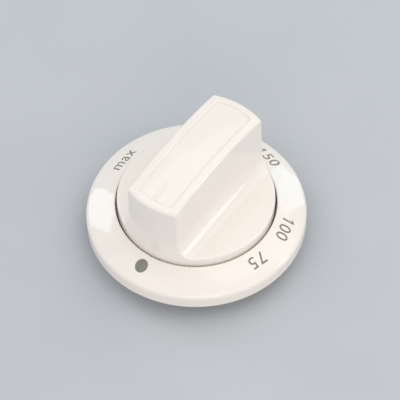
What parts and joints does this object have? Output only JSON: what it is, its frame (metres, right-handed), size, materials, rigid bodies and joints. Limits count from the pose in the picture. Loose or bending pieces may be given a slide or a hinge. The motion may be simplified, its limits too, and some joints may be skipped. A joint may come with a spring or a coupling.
{
  "type": "oven control knob",
  "caption": "White plastic oven control knob: a bar grip with finger scoops turning inside a domed printed dial ring, on a D-section spindle hub.",
  "frame": {"origin": "on the spindle axis, at the end face of the ring's rear boss, which the unit stands on", "axes": "+Z along the spindle axis, out of the appliance's panel; -Y towards the off dot, where the pointer is at rest"},
  "size_m": [0.06, 0.06, 0.035],
  "materials": {
    "ring_white": "glossy",
    "knob_white": "glossy",
    "spring_steel": "satin"
  },
  "bodies": {
    "ring": {"dial_ring": "ring_white"},
    "knob": {"knob_body": "knob_white", "shaft_spring": "spring_steel"}
  },
  "joints": [
    {"name": "knob_turn", "type": "hinge", "parent": "ring", "child": "knob", "pos_m": [0, 0, 0.01], "axis": [0, 0, 1], "range_deg": [0, 270]}
  ]
}
